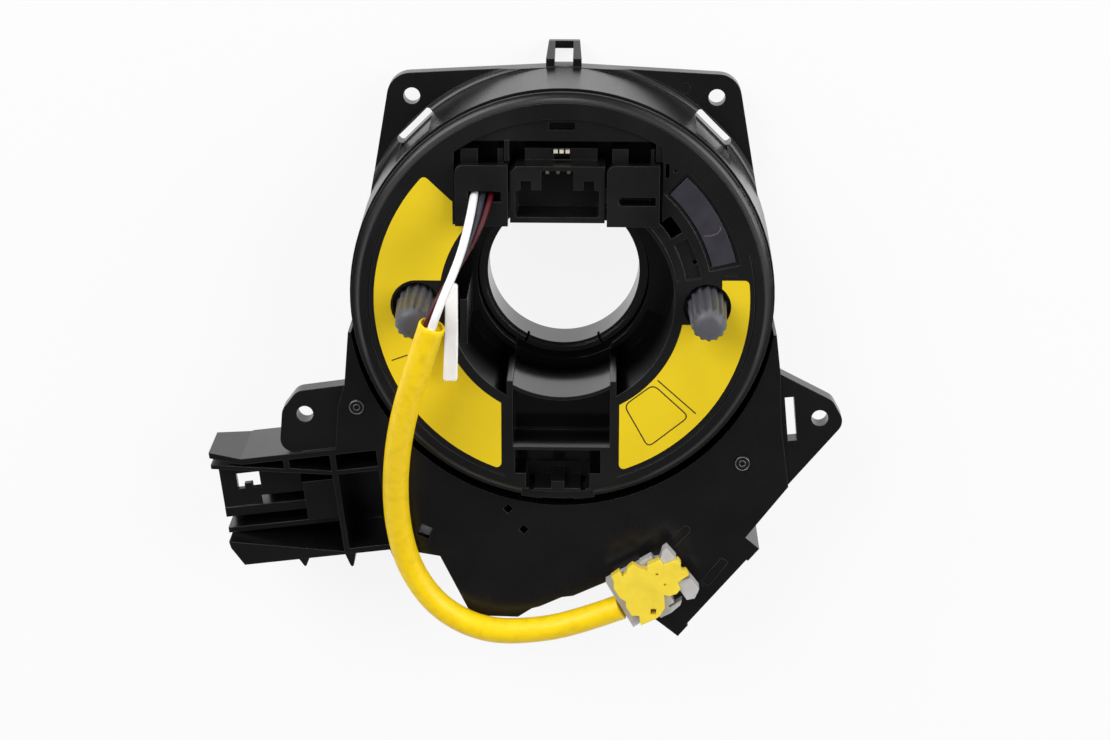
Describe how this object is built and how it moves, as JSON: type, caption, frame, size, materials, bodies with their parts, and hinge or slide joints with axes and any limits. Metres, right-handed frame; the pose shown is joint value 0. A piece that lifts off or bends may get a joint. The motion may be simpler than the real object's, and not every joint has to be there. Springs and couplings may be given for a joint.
{
  "type": "steering clock spring",
  "caption": "Steering clock spring: black housing with a turning rotor, two drive pegs, yellow labels, and a yellow-sleeved lead with its plug.",
  "frame": {"origin": "on the steering column axis, at the back plane of the upper mounting flange", "axes": "+Z along the column axis towards the steering wheel, +Y towards the upper mounting flange"},
  "size_m": [0.16, 0.1495, 0.0638],
  "materials": {
    "black_moulding": "satin",
    "black_connector": "satin",
    "grey_peg": "semi-gloss",
    "smoked_window": "gloss",
    "yellow_label": "satin",
    "yellow_tube": "satin",
    "yellow_moulding": "satin",
    "grey_moulding": "satin",
    "white_moulding": "semi-gloss",
    "white_insulation": "satin",
    "red_insulation": "satin",
    "grey_insulation": "satin",
    "contact_metal": "polished",
    "screw_steel": "satin",
    "clear_film": "gloss",
    "cable_laminate": "gloss"
  },
  "bodies": {
    "stator": {"stator_housing": "black_moulding", "rear_cover": "black_moulding", "rear_cover_screws": "screw_steel", "lower_rear_cover": "black_moulding", "case_screws": "screw_steel", "column_contact_carrier": "black_connector", "column_contact_blades": "contact_metal", "flat_cable": "cable_laminate", "lower_slide_film": "clear_film"},
    "rotor": {"rotor": "black_moulding", "upper_slide_film": "clear_film", "hub_sleeve": "black_moulding", "left_drive_peg": "grey_peg", "right_drive_peg": "grey_peg", "left_label": "yellow_label", "right_label": "yellow_label", "inspection_window": "smoked_window", "lead_cover": "black_connector", "blank_lead_cover": "black_connector", "wheel_socket": "black_connector", "socket_terminals": "contact_metal", "lock_strap": "white_moulding", "white_lead": "white_insulation", "red_lead": "red_insulation", "grey_lead": "grey_insulation", "yellow_sleeve": "yellow_tube", "plug_cover": "yellow_moulding", "plug_carrier": "grey_moulding"}
  },
  "joints": [
    {"name": "rotor_spin", "type": "hinge", "parent": "stator", "child": "rotor", "pos_m": [0, 0, 0], "axis": [0, 0, 1], "range_deg": [-1050, 1050]}
  ]
}
